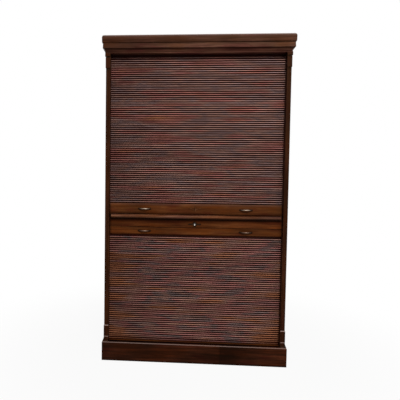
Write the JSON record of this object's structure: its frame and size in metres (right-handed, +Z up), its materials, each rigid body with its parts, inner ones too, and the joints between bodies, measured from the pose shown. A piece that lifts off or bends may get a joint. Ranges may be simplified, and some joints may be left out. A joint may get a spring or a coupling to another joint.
{
  "type": "roll front tool cabinet",
  "caption": "Tall free-standing wooden cabinet with shelves behind two slatted roll fronts, the upper one sliding up and the lower one sliding down, under a moulded cornice.",
  "frame": {"origin": "middle of the footprint's bounding box, on the floor", "axes": "+Z up, +X to the right as seen from the front, +Y from the front to the back"},
  "size_m": [1.154, 0.442, 2],
  "materials": {
    "stained_hardwood": "dark stained hardwood, satin shellac",
    "nosing_hardwood": "stained hardwood worn paler, satin",
    "rail_hardwood": "warm brown stained hardwood, satin",
    "slat_hardwood": "dark red brown stained slats, satin",
    "inner_softwood": "plain pine, waxed",
    "canvas": "unbleached linen canvas",
    "pull_brass": "cast brass, rubbed bright on the bow",
    "bolt_steel": "old plain steel",
    "aged_brass": "dark brown patina",
    "lock_steel": "bare dark iron",
    "bright_nickel": "worn nickel plate"
  },
  "bodies": {
    "cabinet": {"side_left": "stained_hardwood", "side_right": "stained_hardwood", "pilaster_left": "stained_hardwood", "pilaster_right": "stained_hardwood", "capitals": "stained_hardwood", "base_blocks": "stained_hardwood", "pilaster_foot_left": "stained_hardwood", "pilaster_foot_right": "stained_hardwood", "base_moulding_left": "stained_hardwood", "base_moulding_right": "stained_hardwood", "cornice_front": "stained_hardwood", "cornice_left": "stained_hardwood", "cornice_right": "stained_hardwood", "top_board": "stained_hardwood", "frieze_rail": "stained_hardwood", "plinth_front": "stained_hardwood", "plinth_left": "stained_hardwood", "plinth_right": "stained_hardwood", "front_ledge": "stained_hardwood", "tambour_stops": "stained_hardwood", "middle_shelf": "stained_hardwood", "shelf_nosing": "nosing_hardwood", "plinth_back": "inner_softwood", "bottom_board": "inner_softwood", "corner_blocks": "inner_softwood", "ceiling_board": "inner_softwood", "floor_board": "inner_softwood", "false_back_upper": "inner_softwood", "false_back_lower": "inner_softwood", "upper_shelf_1": "inner_softwood", "upper_shelf_2": "inner_softwood", "upper_shelf_3": "inner_softwood", "upper_shelf_cleats": "inner_softwood", "lower_shelf_1": "inner_softwood", "lower_shelf_2": "inner_softwood", "lower_shelf_cleats": "inner_softwood", "back_boards": "inner_softwood", "strike_plates": "aged_brass"},
    "upper_curtain": {"upper_lead_rail": "rail_hardwood", "upper_slats": "slat_hardwood", "upper_canvas": "canvas", "upper_pull_left": "pull_brass", "upper_pull_right": "pull_brass", "upper_pull_bolts": "bolt_steel", "upper_escutcheon": "aged_brass", "upper_lock_case": "lock_steel"},
    "upper_claw": {"upper_lock_claw": "lock_steel"},
    "lower_curtain": {"lower_lock_board": "rail_hardwood", "lower_handle_board": "rail_hardwood", "lower_slats": "slat_hardwood", "lower_canvas": "canvas", "lower_pull_left": "pull_brass", "lower_pull_right": "pull_brass", "lower_pull_bolts": "bolt_steel", "lower_escutcheon": "aged_brass", "lower_lock_case": "lock_steel", "keyhole_cover_rivet": "aged_brass"},
    "lower_claw": {"lower_lock_claw": "lock_steel"},
    "cover": {"keyhole_cover": "bright_nickel"}
  },
  "joints": [
    {"name": "upper_curtain_slide", "type": "slide", "parent": "cabinet", "child": "upper_curtain", "axis": [0, 0, 1], "range_m": [0, 0.9145], "deforming": ["upper_slats", "upper_canvas"]},
    {"name": "lower_curtain_slide", "type": "slide", "parent": "cabinet", "child": "lower_curtain", "axis": [0, 0, -1], "range_m": [0, 0.6694], "deforming": ["lower_slats", "lower_canvas"]},
    {"name": "upper_claw_turn", "type": "hinge", "parent": "upper_curtain", "child": "upper_claw", "pos_m": [-0.008, -0.156, 0.9215], "axis": [0, 1, 0], "range_deg": [0, 75]},
    {"name": "lower_claw_turn", "type": "hinge", "parent": "lower_curtain", "child": "lower_claw", "pos_m": [-0.008, -0.156, 0.8845], "axis": [0, -1, 0], "range_deg": [0, 75]},
    {"name": "keyhole_cover_swing", "type": "hinge", "parent": "lower_curtain", "child": "cover", "pos_m": [0, -0.1691, 0.8635], "axis": [0, 1, 0], "range_deg": [-100, 100]}
  ]
}
